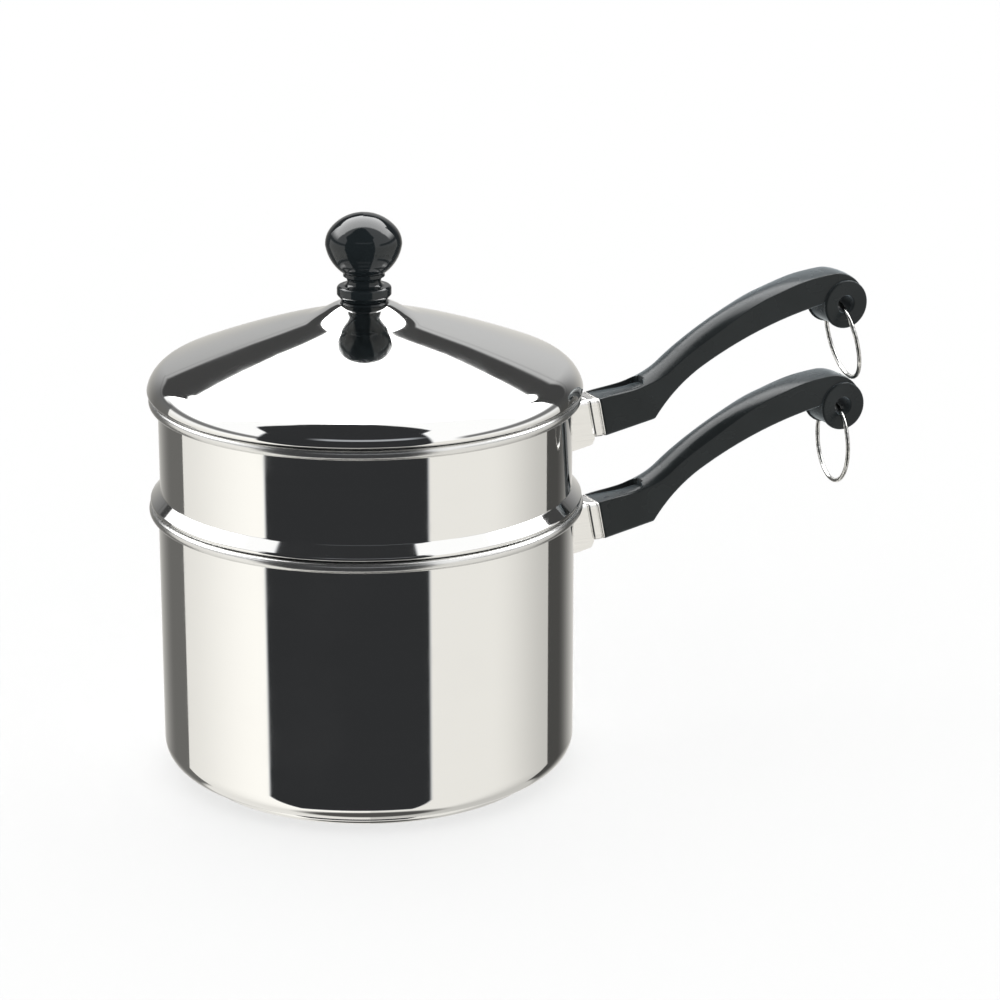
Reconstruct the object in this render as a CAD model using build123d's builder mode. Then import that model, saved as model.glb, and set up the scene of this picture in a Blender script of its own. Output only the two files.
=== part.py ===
"""Stovetop double boiler: a lower saucepan, an insert pan that nests in it, and a domed lid.

Lengths are in millimetres. The origin is the centre of the flat base, +Z is up, and both long
handles point along +X. The pans and the lid are turned about Z. Each handle is worked out in the
XZ plane from the point where it meets its steel collar.
"""

from build123d import *
from math import acos, atan2, cos, degrees, radians, sin, sqrt, tan
import os

os.makedirs("parts", exist_ok=True)

# Lower saucepan
pot_diameter = 160.0
pot_height = 108.5
pot_wall = 0.8
pot_corner_radius = 9.0
rim_bead_radius = 2.15
rim_curl_angle = 296.0

# Base that spreads the heat
base_inset = 10.2
base_thickness = 4.0
base_cap_wall = 0.6
base_cap_corner = 2.0
base_fit = 0.05

# Insert pan
insert_inset = 0.8
insert_height_above_rim = 42.7
insert_wall = 0.8
insert_depth_below_rim = 71.0
insert_corner_radius = 11.0
nest_clearance = 1.3
seat_gap = 0.3
shoulder_overhang = 1.0
shoulder_slope = 47.0
shoulder_fold_radius = 0.7
shoulder_top_radius = 1.0

# Lid
lid_wall = 0.7
lid_overhang = 0.5
lid_seat_radius = 9.6
lid_neck_width = 7.4
lid_dip_width = 9.0
lid_field_width = 26.0
lid_shoulder_width = 6.85
lid_seat_angle = 9.1
lid_neck_angle = 34.5
lid_dip_angle = 12.2
lid_waist_angle = 17.6
lid_shoulder_angle = 25.0
lid_edge_angle = 74.0
lid_fold_radius = 1.05
lid_skirt_depth = 5.0
lid_skirt_gap = 0.7

# Knob and what holds it
knob_ball_radius = 14.6
knob_ball_half_height = 11.9
knob_ball_height = 23.6
knob_side_radius = 9.5
knob_base_radius = 8.9
knob_base_band = 1.7
knob_groove_radius = 8.3
knob_collar_radius = 10.4
knob_collar_start = 4.2
knob_collar_band = 2.2
knob_collar_round = 1.2
knob_neck_radius = 6.5
knob_neck_height = 9.0
knob_step_radius = 7.9
knob_step_height = 11.2
knob_step_band = 0.9
insert_nut_radius = 4.0
insert_nut_length = 12.0
insert_nut_recess = 0.6
knob_screw_radius = 2.0
knob_screw_reach = 9.0
screw_head_radius = 3.9
screw_head_height = 2.3
screw_slot_width = 1.0
screw_slot_depth = 1.1
washer_radius = 6.0
washer_thickness = 0.8
thread_fit = 0.05
screw_play = 0.3

# Handles, measured from the middle of the joint with the steel collar
handle_stand_off = 19.65
handle_joint_drop = 22.2
handle_reach = 110.25
handle_rise = 33.8
handle_width = 13.4
handle_grip_width = 14.2
handle_end_width = 13.2
root_depth = 16.1
root_tilt = 11.0
root_length = 22.4
heel_radius = 1.6
grip_angle = 29.0
rail_run = 14.0
handle_edge_round = 1.5
boss_radius = 9.9
boss_width = 15.6
boss_edge_round = 0.8
ring_hole_radius = 3.7
scoop_start_depth = 0.4
scoop_depth = 2.6
scoop_length = 21.5
scoop_rail = 1.3
scoop_corner_radius = 3.0
scoop_floor_radius = 1.2

# Collar, bracket, tang and handle screw
collar_length = 5.6
collar_wall = 1.1
collar_round = 1.4
collar_back_round = 1.4
collar_flange = 0.9
collar_groove_width = 0.4
collar_groove_depth = 0.4
spigot_length = 3.6
fit_gap = 0.1
bracket_width = 11.8
bracket_sheet = 1.2
bracket_bend_radius = 1.7
bracket_top_step = 0.5
bracket_foot = 2.6
bracket_foot_slope = 10.5
bracket_foot_round = 2.0
weld_gap = 0.05
tang_thickness = 3.0
tang_length = 18.0
tang_root = 6.0
handle_screw_place = 11.0
handle_screw_radius = 2.0
handle_screw_head = 3.6
handle_screw_head_height = 2.2
handle_screw_recess = 1.4

# Hanging rings
ring_radius = 16.3
ring_wire = 0.85
ring_play = 0.15
ring_twist = 9.0
ring_rest_gap = 0.6

# Overrun of a cut past the solid that it cuts
overrun = 5.0


def chord_drop(inner, outer, inner_angle, outer_angle):
    """Fall of an arc between two radii whose slopes are known: its chord has the mean slope."""
    return (outer - inner) * tan(radians((inner_angle + outer_angle) / 2))


# Heights and radii that follow from the sizes above
pot_radius = pot_diameter / 2
pot_mid_radius = pot_radius - pot_wall / 2
pot_inner_radius = pot_radius - pot_wall
pot_floor_z = base_thickness + pot_wall / 2
bead_mid_radius = rim_bead_radius - pot_wall / 2
pot_bead_z = pot_height - rim_bead_radius
pot_rim_outer_radius = pot_inner_radius + 2 * rim_bead_radius

insert_radius = pot_radius - insert_inset
insert_mid_radius = insert_radius - insert_wall / 2
insert_rim_z = pot_height + insert_height_above_rim
insert_bead_z = insert_rim_z - rim_bead_radius
insert_ledge_z = pot_height + seat_gap + insert_wall / 2
insert_ledge_radius = pot_rim_outer_radius - shoulder_overhang
insert_lower_mid_radius = pot_inner_radius - nest_clearance - insert_wall / 2
insert_floor_z = pot_height - insert_depth_below_rim + insert_wall / 2
insert_rim_outer_radius = insert_radius - insert_wall + 2 * rim_bead_radius

lid_neck_radius = lid_seat_radius + lid_neck_width
lid_dip_radius = lid_neck_radius + lid_dip_width
lid_waist_radius = lid_dip_radius + lid_field_width
lid_hem_z = insert_rim_z + seat_gap + lid_wall / 2
lid_edge_radius = insert_rim_outer_radius + lid_overhang - lid_wall / 2
lid_shoulder_start = lid_edge_radius - lid_shoulder_width
lid_edge_z = lid_hem_z + lid_fold_radius * (1 + cos(radians(lid_edge_angle)))
lid_shoulder_z = lid_edge_z + chord_drop(
    lid_shoulder_start, lid_edge_radius, lid_shoulder_angle, lid_edge_angle
)
lid_waist_z = lid_shoulder_z + chord_drop(
    lid_waist_radius, lid_shoulder_start, lid_waist_angle, lid_shoulder_angle
)
lid_dip_z = lid_waist_z + chord_drop(
    lid_dip_radius, lid_waist_radius, lid_dip_angle, lid_waist_angle
)
lid_neck_z = lid_dip_z + chord_drop(
    lid_neck_radius, lid_dip_radius, lid_neck_angle, lid_dip_angle
)
lid_seat_mid_z = lid_neck_z + chord_drop(
    lid_seat_radius, lid_neck_radius, lid_seat_angle, lid_neck_angle
)
lid_seat_z = lid_seat_mid_z + lid_wall / 2
lid_skirt_radius = insert_radius - insert_wall - lid_skirt_gap - lid_wall / 2

handle_joint_x = pot_radius + handle_stand_off

# Lower saucepan: one sheet from the middle of the floor to the end of the rim's curl
with BuildPart() as lower_pot_shell:
    with BuildSketch(Plane.XZ):
        with BuildLine():
            pot_floor = Line((0, pot_floor_z), (pot_mid_radius - pot_corner_radius, pot_floor_z))
            pot_corner = JernArc(pot_floor @ 1, pot_floor % 1, pot_corner_radius, 90)
            pot_side = Line(pot_corner @ 1, (pot_mid_radius, pot_bead_z))
            JernArc(pot_side @ 1, pot_side % 1, bead_mid_radius, -rim_curl_angle)
        trace(line_width=pot_wall)
    revolve(axis=Axis.Z)
lower_pot_shell.part.label = "lower_pot_shell"
export_step(lower_pot_shell.part, "parts/lower_pot_shell.step")

# Steel cap over the heat-spreading disc: the only face that meets the stove
base_radius = pot_radius - base_inset
with BuildPart() as base_cap:
    with BuildSketch(Plane.XZ):
        with BuildLine():
            cap_mid_corner = base_cap_corner - base_cap_wall / 2
            cap_floor = Line(
                (0, base_cap_wall / 2), (base_radius - base_cap_corner, base_cap_wall / 2)
            )
            cap_corner = JernArc(cap_floor @ 1, cap_floor % 1, cap_mid_corner, 90)
            Line(cap_corner @ 1, ((cap_corner @ 1).X, base_thickness))
        trace(line_width=base_cap_wall)
    revolve(axis=Axis.Z)
base_cap.part.label = "base_cap"
export_step(base_cap.part, "parts/base_cap.step")

with BuildPart() as base_core:
    with BuildSketch(Plane.XY.offset(base_cap_wall)):
        Circle(base_radius - base_cap_wall - base_fit)
    extrude(amount=base_thickness - base_cap_wall)
    core_bottom_edge = base_core.edges().group_by(Axis.Z)[0]
    fillet(core_bottom_edge, radius=base_cap_corner - base_cap_wall)
base_core.part.label = "base_core"
export_step(base_core.part, "parts/base_core.step")

# Insert pan: floor, narrow wall inside the saucepan, ledge, conical shoulder, wall and rim
with BuildPart() as insert_shell:
    with BuildSketch(Plane.XZ):
        with BuildLine():
            insert_floor = Line(
                (0, insert_floor_z),
                (insert_lower_mid_radius - insert_corner_radius, insert_floor_z),
            )
            insert_corner = JernArc(
                insert_floor @ 1, insert_floor % 1, insert_corner_radius, 90
            )
            inner_bend = shoulder_fold_radius
            narrow_wall = Line(
                insert_corner @ 1, (insert_lower_mid_radius, insert_ledge_z - inner_bend)
            )
            ledge_bend = JernArc(narrow_wall @ 1, narrow_wall % 1, inner_bend, -90)
            ledge = Line(
                ledge_bend @ 1, (insert_ledge_radius - shoulder_fold_radius, insert_ledge_z)
            )
            fold = JernArc(ledge @ 1, ledge % 1, shoulder_fold_radius, 180 - shoulder_slope)
            cone_run = (
                (fold @ 1).X
                - insert_mid_radius
                - shoulder_top_radius * (1 - sin(radians(shoulder_slope)))
            )
            cone = PolarLine(
                fold @ 1, cone_run / cos(radians(shoulder_slope)), 180 - shoulder_slope
            )
            cone_top = JernArc(
                cone @ 1, cone % 1, shoulder_top_radius, shoulder_slope - 90
            )
            insert_side = Line(cone_top @ 1, (insert_mid_radius, insert_bead_z))
            JernArc(insert_side @ 1, insert_side % 1, bead_mid_radius, -rim_curl_angle)
        trace(line_width=insert_wall)
    revolve(axis=Axis.Z)
insert_shell.part.label = "insert_shell"
export_step(insert_shell.part, "parts/insert_shell.step")

# Lid: knob seat, swept rise, shallow dip, crowned field, round shoulder, hemmed edge and
# locating skirt
with BuildPart() as lid_shell:
    with BuildSketch(Plane.XZ):
        with BuildLine():
            Line(
                (knob_screw_radius + screw_play, lid_seat_mid_z),
                (lid_seat_radius, lid_seat_mid_z),
            )
            seat_slope = (cos(radians(lid_seat_angle)), -sin(radians(lid_seat_angle)))
            rise = TangentArc(
                (lid_seat_radius, lid_seat_mid_z),
                (lid_neck_radius, lid_neck_z),
                tangent=seat_slope,
            )
            dip = TangentArc(
                rise @ 1, (lid_dip_radius, lid_dip_z), tangent=rise % 1
            )
            field = TangentArc(
                dip @ 1, (lid_waist_radius, lid_waist_z), tangent=dip % 1
            )
            crown = TangentArc(
                field @ 1, (lid_shoulder_start, lid_shoulder_z), tangent=field % 1
            )
            shoulder = TangentArc(
                crown @ 1, (lid_edge_radius, lid_edge_z), tangent=crown % 1
            )
            hem_fold = JernArc(
                shoulder @ 1, shoulder % 1, lid_fold_radius, lid_edge_angle - 180
            )
            hem = Line(
                hem_fold @ 1, (lid_skirt_radius + lid_fold_radius, (hem_fold @ 1).Y)
            )
            skirt_bend = JernArc(hem @ 1, hem % 1, lid_fold_radius, 90)
            PolarLine(skirt_bend @ 1, lid_skirt_depth - lid_fold_radius, -90)
        trace(line_width=lid_wall)
    revolve(axis=Axis.Z)
lid_shell.part.label = "lid_shell"
export_step(lid_shell.part, "parts/lid_shell.step")

# Knob: base band, collar ring, neck, step and ball, turned as one moulding. The ball's side and
# its flatter cap are arcs that meet where both point the same way.
knob_side_centre = knob_ball_radius - knob_side_radius
knob_cap_radius = (knob_side_centre**2 + knob_ball_half_height**2 - knob_side_radius**2) / (
    2 * (knob_ball_half_height - knob_side_radius)
)
knob_side_turn = degrees(atan2(knob_cap_radius - knob_ball_half_height, knob_side_centre))
collar_top = knob_collar_start + knob_collar_band
insert_pocket_top = insert_nut_recess + insert_nut_length + fit_gap
with BuildPart() as lid_knob:
    with BuildSketch(Plane((0, 0, lid_seat_z), x_dir=(1, 0, 0), z_dir=(0, -1, 0))):
        with BuildLine():
            Line((0, 0), (knob_base_radius, 0))
            base_band = Line((knob_base_radius, 0), (knob_base_radius, knob_base_band))
            groove = Line(base_band @ 1, (knob_groove_radius, knob_base_band))
            flare = Line(groove @ 1, (knob_collar_radius, knob_collar_start))
            collar_side = Line(flare @ 1, (knob_collar_radius, collar_top))
            collar_bend = TangentArc(
                collar_side @ 1,
                (knob_collar_radius - knob_collar_round, collar_top + knob_collar_round),
                tangent=(0, 1),
            )
            neck = ThreePointArc(
                collar_bend @ 1,
                (knob_neck_radius, knob_neck_height),
                (knob_step_radius, knob_step_height),
            )
            step = Line(neck @ 1, (knob_step_radius, knob_step_height + knob_step_band))
            equator = (knob_ball_radius, knob_ball_height)
            TangentArc(equator, step @ 1, tangent=(0, -1))
            ball_side = JernArc(equator, (0, 1), knob_side_radius, knob_side_turn)
            ball_top = (0, knob_ball_height + knob_ball_half_height)
            TangentArc(ball_side @ 1, ball_top, tangent=ball_side % 1)
            Line(ball_top, (0, 0))
        make_face()
    revolve(axis=Axis.Z)
    with BuildSketch(Plane.XY.offset(lid_seat_z - overrun)):
        Circle(insert_nut_radius + thread_fit)
    extrude(amount=overrun + insert_pocket_top, mode=Mode.SUBTRACT)
lid_knob.part.label = "lid_knob"
export_step(lid_knob.part, "parts/lid_knob.step")

# Threaded insert moulded into the knob
with BuildPart() as knob_insert:
    with BuildSketch(Plane.XY.offset(lid_seat_z + insert_nut_recess)):
        Circle(insert_nut_radius)
        Circle(knob_screw_radius + thread_fit, mode=Mode.SUBTRACT)
    extrude(amount=insert_nut_length)
knob_insert.part.label = "knob_insert"
export_step(knob_insert.part, "parts/knob_insert.step")

# Washer under the lid
washer_top_z = lid_seat_z - lid_wall
with BuildPart() as knob_washer:
    with BuildSketch(Plane.XY.offset(washer_top_z)):
        Circle(washer_radius)
        Circle(knob_screw_radius + screw_play, mode=Mode.SUBTRACT)
    extrude(amount=-washer_thickness)
knob_washer.part.label = "knob_washer"
export_step(knob_washer.part, "parts/knob_washer.step")

# Slotted pan-head screw that pulls the knob down on the lid
knob_screw_seat_z = washer_top_z - washer_thickness
with BuildPart() as knob_screw:
    with BuildSketch(Plane.XY.offset(knob_screw_seat_z)):
        Circle(knob_screw_radius)
    extrude(amount=washer_thickness + lid_wall + insert_nut_recess + knob_screw_reach)
    with BuildSketch(Plane.XY.offset(knob_screw_seat_z)):
        Circle(screw_head_radius)
    extrude(amount=-screw_head_height)
    head_rim = knob_screw.edges().group_by(Axis.Z)[0]
    fillet(head_rim, radius=screw_head_height / 2)
    with BuildSketch(Plane.XY.offset(knob_screw_seat_z - screw_head_height)):
        Rectangle(2 * screw_head_radius, screw_slot_width)
    extrude(amount=screw_slot_depth, mode=Mode.SUBTRACT)
knob_screw.part.label = "knob_screw"
export_step(knob_screw.part, "parts/knob_screw.step")


# Handles. Shares of the reach and of the rise, from the joint with the collar, place the
# outline's turning points; the arcs between them leave each point along the last one's end.
rise_start_shares = (0.284, 0.571)
crest_shares = (0.950, 1.402)
grip_shares = (0.409, 0.467)
tail_shares = (0.905, 1.021)


def outline_point(shares):
    """A point of the handle's side outline, from its shares of the reach and of the rise."""
    return (shares[0] * handle_reach, shares[1] * handle_rise)


def along_root(distance, height):
    """A point at a distance from the joint along the tilted root, and a height above its middle."""
    tilt = radians(root_tilt)
    return (
        distance * cos(tilt) - height * sin(tilt),
        distance * sin(tilt) + height * cos(tilt),
    )


# A pan's own numbers: the height of its rim and the radius of its wall
levels = (("lower", pot_height, pot_radius), ("upper", insert_rim_z, insert_radius))
tilt = radians(root_tilt)
for level, rim_z, wall_radius in levels:
    joint_z = rim_z - handle_joint_drop
    side = Plane(origin=(handle_joint_x, 0, joint_z), x_dir=(1, 0, 0), z_dir=(0, -1, 0))
    root_face = Plane(
        origin=(handle_joint_x, 0, joint_z), x_dir=(0, 1, 0), z_dir=(cos(tilt), 0, sin(tilt))
    )
    joint_top = along_root(0, root_depth / 2)
    joint_bottom = along_root(0, -root_depth / 2)
    heel = along_root(root_length, -root_depth / 2)
    boss_x = handle_joint_x + handle_reach
    boss_z = joint_z + handle_rise
    section_width = handle_width - 2 * collar_wall - 2 * fit_gap
    section_depth = root_depth - 2 * collar_wall - 2 * fit_gap
    tang_width = bracket_width - 2 * bracket_sheet - 2 * weld_gap
    screw_face = Plane(
        origin=side.from_local_coords(Vector(*along_root(handle_screw_place, 0), 0)),
        x_dir=(0, 1, 0),
        z_dir=(-sin(tilt), 0, cos(tilt)),
    )
    head_seat = -root_depth / 2 + handle_screw_recess + handle_screw_head_height

    # Scoop in the top of the handle's root, between two rails; it is cut from the handle
    with BuildPart() as scoop:
        with BuildSketch(side):
            with BuildLine():
                scoop_start = along_root(-overrun, root_depth / 2 - scoop_start_depth)
                scoop_end = along_root(scoop_length, root_depth / 2 - scoop_depth)
                Polyline(
                    scoop_start,
                    scoop_end,
                    (scoop_end[0], root_depth),
                    (scoop_start[0], root_depth),
                    scoop_start,
                )
            make_face()
        extrude(amount=handle_width / 2 - scoop_rail, both=True)
        scoop_corners = scoop.edges().filter_by(Axis.Z).group_by(Axis.X)[-1]
        fillet(scoop_corners, radius=scoop_corner_radius)
        scoop_floor = scoop.faces().sort_by(Axis.Z)[0]
        fillet(scoop_floor.edges().sort_by(Axis.X)[1:], radius=scoop_floor_radius)

    # Moulded handle: root, S-shaped grip, cross boss for the ring, spigot, tang slot, screw hole
    with BuildPart() as handle:
        with BuildSketch(side):
            with BuildLine():
                Line(joint_bottom, joint_top)
                rail = Line(joint_top, along_root(rail_run, root_depth / 2))
                sweep_up = TangentArc(
                    rail @ 1, outline_point(rise_start_shares), tangent=rail % 1
                )
                back = TangentArc(
                    sweep_up @ 1, outline_point(crest_shares), tangent=sweep_up % 1
                )
                nose = TangentArc(
                    back @ 1, (handle_reach + boss_radius, handle_rise), tangent=back % 1
                )
                Polyline(
                    nose @ 1,
                    (handle_reach, handle_rise - boss_radius / 2),
                    outline_point(tail_shares),
                )
                grip_slope = (cos(radians(grip_angle)), sin(radians(grip_angle)))
                TangentArc(
                    outline_point(grip_shares), outline_point(tail_shares), tangent=grip_slope
                )
                TangentArc(
                    outline_point(grip_shares), heel, tangent=(-grip_slope[0], -grip_slope[1])
                )
                Line(heel, joint_bottom)
            make_face()
        extrude(amount=handle_grip_width / 2, both=True)
        with BuildSketch(Plane.XY.offset(joint_z - root_depth)):
            with BuildLine():
                plan_end_x = boss_x + boss_radius + overrun
                plan_start_x = handle_joint_x - spigot_length
                plan_middle_x = handle_joint_x + handle_reach / 2
                ThreePointArc(
                    (plan_start_x, -handle_width / 2),
                    (plan_middle_x, -handle_grip_width / 2),
                    (plan_end_x, -handle_end_width / 2),
                )
                Line(
                    (plan_end_x, -handle_end_width / 2), (plan_end_x, handle_end_width / 2)
                )
                ThreePointArc(
                    (plan_end_x, handle_end_width / 2),
                    (plan_middle_x, handle_grip_width / 2),
                    (plan_start_x, handle_width / 2),
                )
                Line((plan_start_x, handle_width / 2), (plan_start_x, -handle_width / 2))
            make_face()
        extrude(amount=2 * (root_depth + handle_rise), mode=Mode.INTERSECT)
        heel_edge = handle.edges().filter_by(Axis.Y).sort_by_distance(
            side.from_local_coords(Vector(*heel, 0))
        )[0]
        fillet(heel_edge, radius=heel_radius)
        flanks = handle.faces().sort_by(Axis.Y)
        flank_edges = flanks[0].edges() + flanks[-1].edges()
        joint_end = flank_edges.sort_by(Axis.X)
        long_edges = [
            edge
            for edge in flank_edges
            if edge.center().X > joint_end[0].center().X + fit_gap
            and edge.center().X < boss_x - boss_radius / 2
        ]
        fillet(long_edges, radius=handle_edge_round)
        with BuildSketch(side):
            with Locations((handle_reach, handle_rise)):
                Circle(boss_radius)
        extrude(amount=boss_width / 2, both=True)
        boss_rims = handle.edges().filter_by(GeomType.CIRCLE).filter_by(
            lambda edge: abs(abs(edge.center().Y) - boss_width / 2) < fit_gap
        )
        fillet(boss_rims, radius=boss_edge_round)
        with BuildSketch(root_face):
            RectangleRounded(section_width, section_depth, collar_round)
        extrude(amount=spigot_length, dir=(-1, 0, 0))
        with BuildSketch(side):
            with Locations((handle_reach, handle_rise)):
                Circle(ring_hole_radius)
        extrude(amount=boss_width, both=True, mode=Mode.SUBTRACT)
        with BuildSketch(root_face):
            Rectangle(tang_width + 2 * fit_gap, tang_thickness + 2 * fit_gap)
        extrude(amount=tang_length + fit_gap, mode=Mode.SUBTRACT)
        with BuildSketch(root_face):
            Rectangle(tang_width + 2 * fit_gap, tang_thickness + 2 * fit_gap)
        extrude(amount=-spigot_length - overrun, mode=Mode.SUBTRACT)
        with BuildSketch(screw_face.offset(head_seat)):
            Circle(handle_screw_head + screw_play)
        extrude(amount=-overrun, mode=Mode.SUBTRACT)
        with BuildSketch(screw_face):
            Circle(handle_screw_radius + screw_play)
        extrude(amount=-root_depth, mode=Mode.SUBTRACT)
        add(scoop.part, mode=Mode.SUBTRACT)
    handle.part.label = f"{level}_handle"
    export_step(handle.part, f"parts/{level}_handle.step")

    # Steel collar: a level cup with slanting ends that the handle's spigot sits in. A groove
    # round it sets off the flange that the handle's root meets.
    with BuildPart() as collar:
        with BuildSketch(root_face):
            RectangleRounded(handle_width, root_depth, handle_edge_round)
        extrude(amount=collar_length, dir=(-1, 0, 0))
        collar_back = collar.faces().sort_by(Axis.X)[0]
        fillet(collar_back.edges(), radius=collar_back_round)
        groove_face = Plane(
            origin=root_face.origin - Vector(collar_flange, 0, 0),
            x_dir=root_face.x_dir,
            z_dir=root_face.z_dir,
        )
        with BuildSketch(groove_face):
            Rectangle(handle_width + overrun, root_depth + overrun)
            RectangleRounded(
                handle_width - 2 * collar_groove_depth,
                root_depth - 2 * collar_groove_depth,
                handle_edge_round,
                mode=Mode.SUBTRACT,
            )
        extrude(amount=collar_groove_width, dir=(-1, 0, 0), mode=Mode.SUBTRACT)
        with BuildSketch(root_face):
            RectangleRounded(
                section_width + 2 * fit_gap, section_depth + 2 * fit_gap, collar_round
            )
        extrude(amount=spigot_length + fit_gap, dir=(-1, 0, 0), mode=Mode.SUBTRACT)
        with BuildSketch(root_face):
            Rectangle(tang_width + 2 * fit_gap, tang_thickness + 2 * fit_gap)
        extrude(amount=-2 * collar_length, mode=Mode.SUBTRACT)
    collar.part.label = f"{level}_handle_collar"
    export_step(collar.part, f"parts/{level}_handle_collar.step")

    # Bracket: a bent channel, web on top and a cheek each side, welded to the pan's wall
    with BuildPart() as bracket:
        with BuildSketch(side):
            with BuildLine():
                wall_x = -(handle_joint_x - wall_radius) - overrun
                back_top = (
                    joint_top[0] - collar_length + bracket_top_step * tan(tilt),
                    joint_top[1] - bracket_top_step,
                )
                foot_heel = (
                    joint_bottom[0] - collar_length + bracket_foot * tan(tilt),
                    joint_bottom[1] - bracket_foot,
                )
                foot_fall = (foot_heel[0] - wall_x) * tan(radians(bracket_foot_slope))
                Polyline(
                    back_top,
                    (wall_x, back_top[1]),
                    (wall_x, foot_heel[1] - foot_fall),
                    foot_heel,
                    back_top,
                )
            make_face()
        extrude(amount=bracket_width / 2, both=True)
        bend_edges = bracket.edges().filter_by(Axis.X).group_by(Axis.Z)[-1]
        fillet(bend_edges, radius=bracket_bend_radius)
        foot_edge = bracket.edges().filter_by(Axis.Y).sort_by_distance(
            side.from_local_coords(Vector(*foot_heel, 0))
        )[0]
        fillet(foot_edge, radius=bracket_foot_round)
        with BuildSketch(Plane.XY.offset(joint_z + back_top[1] - bracket_sheet)):
            with Locations((handle_joint_x, 0)):
                Rectangle(2 * handle_joint_x, bracket_width - 2 * bracket_sheet)
        extrude(amount=-2 * root_depth, mode=Mode.SUBTRACT)
        with BuildSketch(Plane.XY.offset(joint_z - 2 * root_depth)):
            Circle(wall_radius + weld_gap)
        extrude(amount=3 * root_depth, mode=Mode.SUBTRACT)
    bracket.part.label = f"{level}_handle_bracket"
    export_step(bracket.part, f"parts/{level}_handle_bracket.step")

    # Tang: flat bar between the bracket's cheeks, through the collar into the handle's root
    with BuildPart() as tang:
        with BuildSketch(root_face.offset(-collar_length - tang_root)):
            Rectangle(tang_width, tang_thickness)
        extrude(amount=collar_length + tang_root + tang_length)
        with BuildSketch(screw_face):
            Circle(handle_screw_radius + thread_fit)
        extrude(amount=tang_thickness, both=True, mode=Mode.SUBTRACT)
    tang.part.label = f"{level}_handle_tang"
    export_step(tang.part, f"parts/{level}_handle_tang.step")

    # Slotted screw from the underside of the root into the tang
    with BuildPart() as handle_screw:
        with BuildSketch(screw_face.offset(head_seat)):
            Circle(handle_screw_radius)
        extrude(amount=tang_thickness / 2 - head_seat)
        with BuildSketch(screw_face.offset(head_seat)):
            Circle(handle_screw_head)
        extrude(amount=-handle_screw_head_height)
        with BuildSketch(screw_face.offset(head_seat - handle_screw_head_height)):
            Rectangle(screw_slot_width, 2 * handle_screw_head)
        extrude(amount=screw_slot_depth, mode=Mode.SUBTRACT)
    handle_screw.part.label = f"{level}_handle_screw"
    export_step(handle_screw.part, f"parts/{level}_handle_screw.step")

    # Wire ring through the boss: it rests on the lower edges of the hole. The upper one is too
    # long to hang straight, so it leans out until it rests on the nose of the lower handle.
    twist = radians(ring_twist)
    wire_room = ring_hole_radius - ring_wire - ring_play
    wire_sit = sqrt(wire_room**2 - (boss_width / 2 * tan(twist)) ** 2)
    ring_drop = wire_sit + sqrt(ring_radius**2 - (boss_width / 2 / cos(twist)) ** 2)
    ring_arm = ring_drop + ring_radius
    if level == "upper":
        nose_below = nose.arc_center - Vector(handle_reach, handle_rise + insert_height_above_rim)
        rest_radius = nose.radius + ring_wire + ring_rest_gap
        lean = atan2(nose_below.X, -nose_below.Y) + acos(
            (ring_arm**2 + nose_below.length**2 - rest_radius**2)
            / (2 * ring_arm * nose_below.length)
        )
    else:
        lean = 0
    ring_down = Vector(sin(lean), 0, -cos(lean))
    ring_across = Vector(sin(twist) * cos(lean), cos(twist), sin(twist) * sin(lean))
    ring_centre = Vector(boss_x, 0, boss_z) + ring_down * ring_drop
    with BuildPart() as hang_ring:
        with BuildSketch(Plane(ring_centre, x_dir=ring_down, z_dir=ring_across)):
            with Locations((ring_radius, 0)):
                Circle(ring_wire)
        revolve(axis=Axis(ring_centre, ring_across.cross(ring_down)))
    hang_ring.part.label = f"{level}_hang_ring"
    export_step(hang_ring.part, f"parts/{level}_hang_ring.step")
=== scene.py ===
"""A stovetop double boiler: a stainless saucepan, an insert pan that nests in it, a domed lid, and
black moulded handles and knob.

Outlines are drawn in millimetres, as on a shop drawing, and scaled to metres as each skin is made.
The origin is the centre of the base's underside, +Z is up, and both handles point along +X.
"""

from math import asin, atan2, ceil, cos, degrees, hypot, pi, radians, sin, sqrt, tan

import bpy
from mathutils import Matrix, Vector


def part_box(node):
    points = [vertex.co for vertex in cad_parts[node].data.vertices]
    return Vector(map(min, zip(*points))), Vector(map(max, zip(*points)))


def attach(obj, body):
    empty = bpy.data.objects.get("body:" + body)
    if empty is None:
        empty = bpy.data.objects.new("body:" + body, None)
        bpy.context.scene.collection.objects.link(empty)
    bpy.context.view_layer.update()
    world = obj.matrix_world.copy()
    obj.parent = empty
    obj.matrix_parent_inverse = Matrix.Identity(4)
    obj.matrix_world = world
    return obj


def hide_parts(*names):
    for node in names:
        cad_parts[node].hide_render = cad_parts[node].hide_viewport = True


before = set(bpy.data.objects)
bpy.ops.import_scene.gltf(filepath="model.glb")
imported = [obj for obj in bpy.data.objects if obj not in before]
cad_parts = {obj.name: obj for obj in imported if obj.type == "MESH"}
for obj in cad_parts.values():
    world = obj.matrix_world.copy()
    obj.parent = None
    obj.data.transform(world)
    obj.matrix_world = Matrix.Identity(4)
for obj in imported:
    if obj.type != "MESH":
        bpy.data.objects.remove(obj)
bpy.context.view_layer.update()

# Lower saucepan. One disc of stainless steel, deep drawn into a straight-sided pan, with its edge
# rolled outward into a hollow bead. It is buffed to a mirror outside, while the inside keeps the
# fine rings of the spinning wheel.
MM = 0.001
pot_radius = 80.0
pot_height = 108.5
pot_wall = 0.8
pot_corner_radius = 9.0
base_thickness = 4.0
bead_radius = 2.15
bead_curl = 296.0
around = 160


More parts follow.
